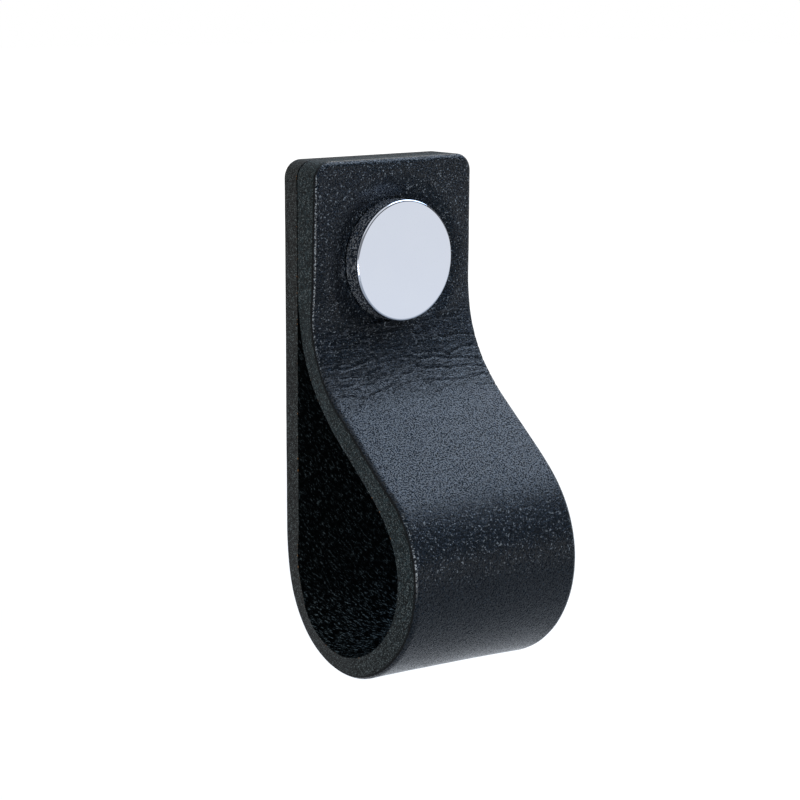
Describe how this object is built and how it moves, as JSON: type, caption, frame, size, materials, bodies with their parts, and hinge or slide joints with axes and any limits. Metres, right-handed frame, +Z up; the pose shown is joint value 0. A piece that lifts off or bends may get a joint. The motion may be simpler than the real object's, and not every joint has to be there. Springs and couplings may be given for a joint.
{
  "type": "leather loop handle",
  "caption": "Wide leather strap folded back into an open loop pull, its two ends clamped by a chromed knob with a machine screw through the furniture front.",
  "frame": {"origin": "where the axis of the fixing screw crosses the strap's back face, which lies flat on the furniture", "axes": "+Y out of the back face, into the furniture; -Y towards the knob's face; +X across the strap; +Z up, towards the strap's two ends"},
  "size_m": [0.03, 0.0434, 0.0751],
  "materials": {
    "strap_leather": "black grained hide, smooth outside with a soft sheen, rough suede inside, burnished dark edges",
    "knob_chrome": "polished chrome plating",
    "screw_steel": "bright zinc plating"
  },
  "bodies": {
    "root": {"leather_strap": "strap_leather", "knob": "knob_chrome", "fixing_screw": "screw_steel"}
  },
  "joints": []
}
